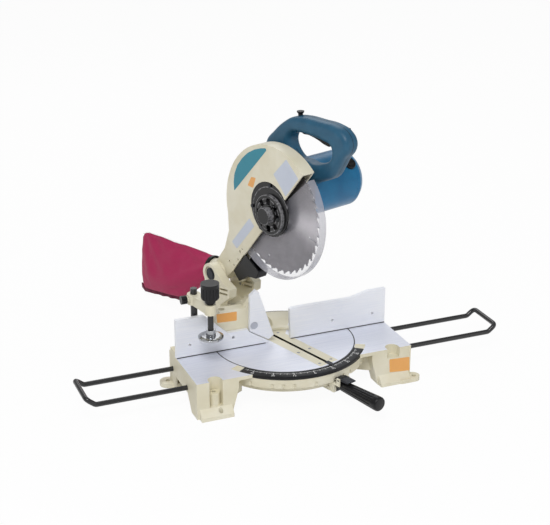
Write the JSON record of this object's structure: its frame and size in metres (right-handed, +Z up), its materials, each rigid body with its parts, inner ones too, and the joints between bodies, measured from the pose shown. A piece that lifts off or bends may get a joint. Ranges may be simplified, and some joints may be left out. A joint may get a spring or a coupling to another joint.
{
  "type": "compound mitre saw",
  "caption": "Bench mitre saw with a turning table, tilting sprung blade head, clear blade cover, motor and D-handle, cloth dust bag, screw vise and rod work holders on a cast stand",
  "frame": {"origin": "midway between the two rear bench bolt holes, on the bench", "axes": "+X to the user's right along the fence, +Y away from the user, +Z up"},
  "size_m": [0.9372, 0.7801, 0.5688],
  "materials": {
    "cast_cream": "cream painted casting",
    "machined_alloy": "milled top and fence faces",
    "kerf_plastic": "cream moulding",
    "steel": "turned steel",
    "blade_steel": "ground steel with bright tips",
    "rotor_steel": "laminated steel",
    "black_plastic": "black moulding",
    "black_rod": "black coated steel rod",
    "gear_alloy": "dark painted casting",
    "blue_plastic": "blue moulding",
    "clear_plastic": "clear moulding",
    "bag_cloth": "woven cloth",
    "chrome_pad": "plated steel"
  },
  "bodies": {
    "stand": {"base": "cast_cream", "mitre_scale": "black_plastic", "guide_fence": "machined_alloy", "fence_bolts": "steel", "pivot_bolt": "steel", "sub_fence_pin": "steel"},
    "table": {"turn_base": "machined_alloy", "left_kerf_board": "kerf_plastic", "right_kerf_board": "kerf_plastic", "kerf_board_screws": "steel", "mitre_pointer": "steel", "bevel_bolt": "steel"},
    "grip": {"lock_grip": "black_plastic", "lock_rod": "steel"},
    "stop_lever": {"stop_lever": "machined_alloy"},
    "arm": {"arm": "cast_cream", "pivot_shaft": "steel", "return_spring": "steel"},
    "bevel_lever": {"bevel_lock_lever": "black_plastic"},
    "stopper": {"stopper_pin": "steel"},
    "head": {"blade_case": "cast_cream", "center_cover": "black_plastic", "case_screws": "steel", "gear_housing": "gear_alloy", "motor_housing": "blue_plastic", "motor_end_cover": "blue_plastic", "stator": "rotor_steel", "brush_caps": "black_plastic", "carbon_brushes": "black_plastic", "handle_left": "blue_plastic", "handle_right": "blue_plastic", "handle_screws": "steel", "switch_block": "black_plastic", "dust_chute": "black_plastic", "dust_nozzle": "cast_cream", "dust_bag": "bag_cloth", "spindle_bearings": "steel", "motor_bearings": "steel"},
    "trigger": {"trigger": "black_plastic"},
    "lock_off": {"lock_off_button": "black_plastic"},
    "shaft_lock": {"shaft_lock": "black_plastic"},
    "blade": {"spindle": "steel", "drive_gear": "steel", "inner_flange": "steel", "saw_blade": "blade_steel", "outer_flange": "steel", "blade_bolt": "steel"},
    "rotor": {"armature": "rotor_steel", "cooling_fan": "black_plastic"},
    "guard": {"safety_cover": "clear_plastic"},
    "sub_fence": {"sub_fence": "machined_alloy"},
    "vise_post": {"vise_post": "black_rod"},
    "vise_arm": {"vise_arm": "cast_cream"},
    "vise_lock": {"vise_lock_knob": "black_plastic"},
    "vise_pad": {"vise_pad": "chrome_pad"},
    "vise_screw": {"vise_screw": "black_rod", "vise_knob": "black_plastic"},
    "left_holder": {"left_holder": "black_rod"},
    "right_holder": {"right_holder": "black_rod"}
  },
  "joints": [
    {"name": "mitre", "type": "hinge", "parent": "stand", "child": "table", "pos_m": [0, -0.045, 0.079], "axis": [0, 0, 1], "range_deg": [-63, 27]},
    {"name": "bevel", "type": "hinge", "parent": "table", "child": "arm", "pos_m": [-0.0479, 0.10241, 0.079], "axis": [-0.309, 0.9511, 0], "range_deg": [-36, 0]},
    {"name": "head_pivot", "type": "hinge", "parent": "arm", "child": "head", "pos_m": [-0.06026, 0.14046, 0.18], "axis": [0.9511, 0.309, 0], "range_deg": [0, 42], "stiffness_Nm_per_rad": 20, "springref_deg": -80.21},
    {"name": "guard_swing", "type": "hinge", "parent": "head", "child": "guard", "pos_m": [-0.00659, -0.02471, 0.35984], "axis": [0.9511, 0.309, 0], "range_deg": [-156, 0]},
    {"name": "blade_spin", "type": "hinge", "parent": "head", "child": "blade", "pos_m": [-0.00659, -0.02471, 0.35984], "axis": [0.9511, 0.309, 0], "continuous": true},
    {"name": "rotor_spin", "type": "hinge", "parent": "head", "child": "rotor", "pos_m": [-0.00518, -0.02907, 0.4007], "axis": [0.9511, 0.309, 0], "continuous": true},
    {"name": "trigger_press", "type": "slide", "parent": "head", "child": "trigger", "axis": [-0.012, 0.0368, 0.9993], "range_m": [0, 0.005], "stiffness_N_per_m": 800, "springref_m": -0.001},
    {"name": "lock_off_press", "type": "slide", "parent": "head", "child": "lock_off", "axis": [0.012, -0.0368, -0.9993], "range_m": [0, 0.004], "stiffness_N_per_m": 600, "springref_m": -0.003},
    {"name": "shaft_lock_press", "type": "slide", "parent": "head", "child": "shaft_lock", "axis": [-0.9511, -0.309, 0], "range_m": [0, 0.005], "stiffness_N_per_m": 800, "springref_m": -0.002},
    {"name": "stopper_push", "type": "slide", "parent": "arm", "child": "stopper", "axis": [-0.9511, -0.309, 0], "range_m": [0, 0.008]},
    {"name": "sub_fence_flip", "type": "hinge", "parent": "stand", "child": "sub_fence", "pos_m": [-0.066, -0.0405, 0.124], "axis": [0, 1, 0], "range_deg": [-60, 0]},
    {"name": "vise_swing", "type": "hinge", "parent": "stand", "child": "vise_post", "pos_m": [-0.19, -0.023, 0.1], "axis": [0, 0, -1], "range_deg": [-25, 45]},
    {"name": "vise_lift", "type": "slide", "parent": "vise_post", "child": "vise_arm", "axis": [0, 0, 1], "range_m": [-0.02, 0.01]},
    {"name": "vise_lock_turn", "type": "hinge", "parent": "vise_arm", "child": "vise_lock", "pos_m": [-0.206, -0.023, 0.198], "axis": [-1, 0, 0], "range_deg": [0, 270]},
    {"name": "vise_feed", "type": "slide", "parent": "vise_arm", "child": "vise_pad", "axis": [0, 0, 1], "range_m": [-0.003, 0.03]},
    {"name": "vise_screw_turn", "type": "hinge", "parent": "vise_pad", "child": "vise_screw", "pos_m": [-0.177, -0.087, 0.15], "axis": [0, 0, 1], "range_deg": [-440, 4330]},
    {"name": "left_holder_slide", "type": "slide", "parent": "stand", "child": "left_holder", "axis": [-1, 0, 0], "range_m": [-0.044, 0.015]},
    {"name": "right_holder_slide", "type": "slide", "parent": "stand", "child": "right_holder", "axis": [1, 0, 0], "range_m": [-0.044, 0.015]},
    {"name": "grip_turn", "type": "hinge", "parent": "table", "child": "grip", "pos_m": [0.0618, -0.23521, 0.044], "axis": [-0.309, 0.9511, 0], "range_deg": [0, 270]},
    {"name": "stop_lever_press", "type": "hinge", "parent": "table", "child": "stop_lever", "pos_m": [0.05717, -0.22095, 0.059], "axis": [0.9511, 0.309, 0], "range_deg": [0, 7], "stiffness_Nm_per_rad": 0.6, "springref_deg": -11.46},
    {"name": "bevel_lever_turn", "type": "hinge", "parent": "arm", "child": "bevel_lever", "pos_m": [-0.06088, 0.14236, 0.079], "axis": [-0.309, 0.9511, 0], "range_deg": [0, 45]}
  ],
  "couplings": [
    {"joint": "guard_swing", "follows": "head_pivot", "ratio": -3.6905},
    {"joint": "rotor_spin", "follows": "blade_spin", "ratio": -3.2727},
    {"joint": "vise_screw_turn", "follows": "vise_feed", "rad_per_m": 2513.3}
  ]
}
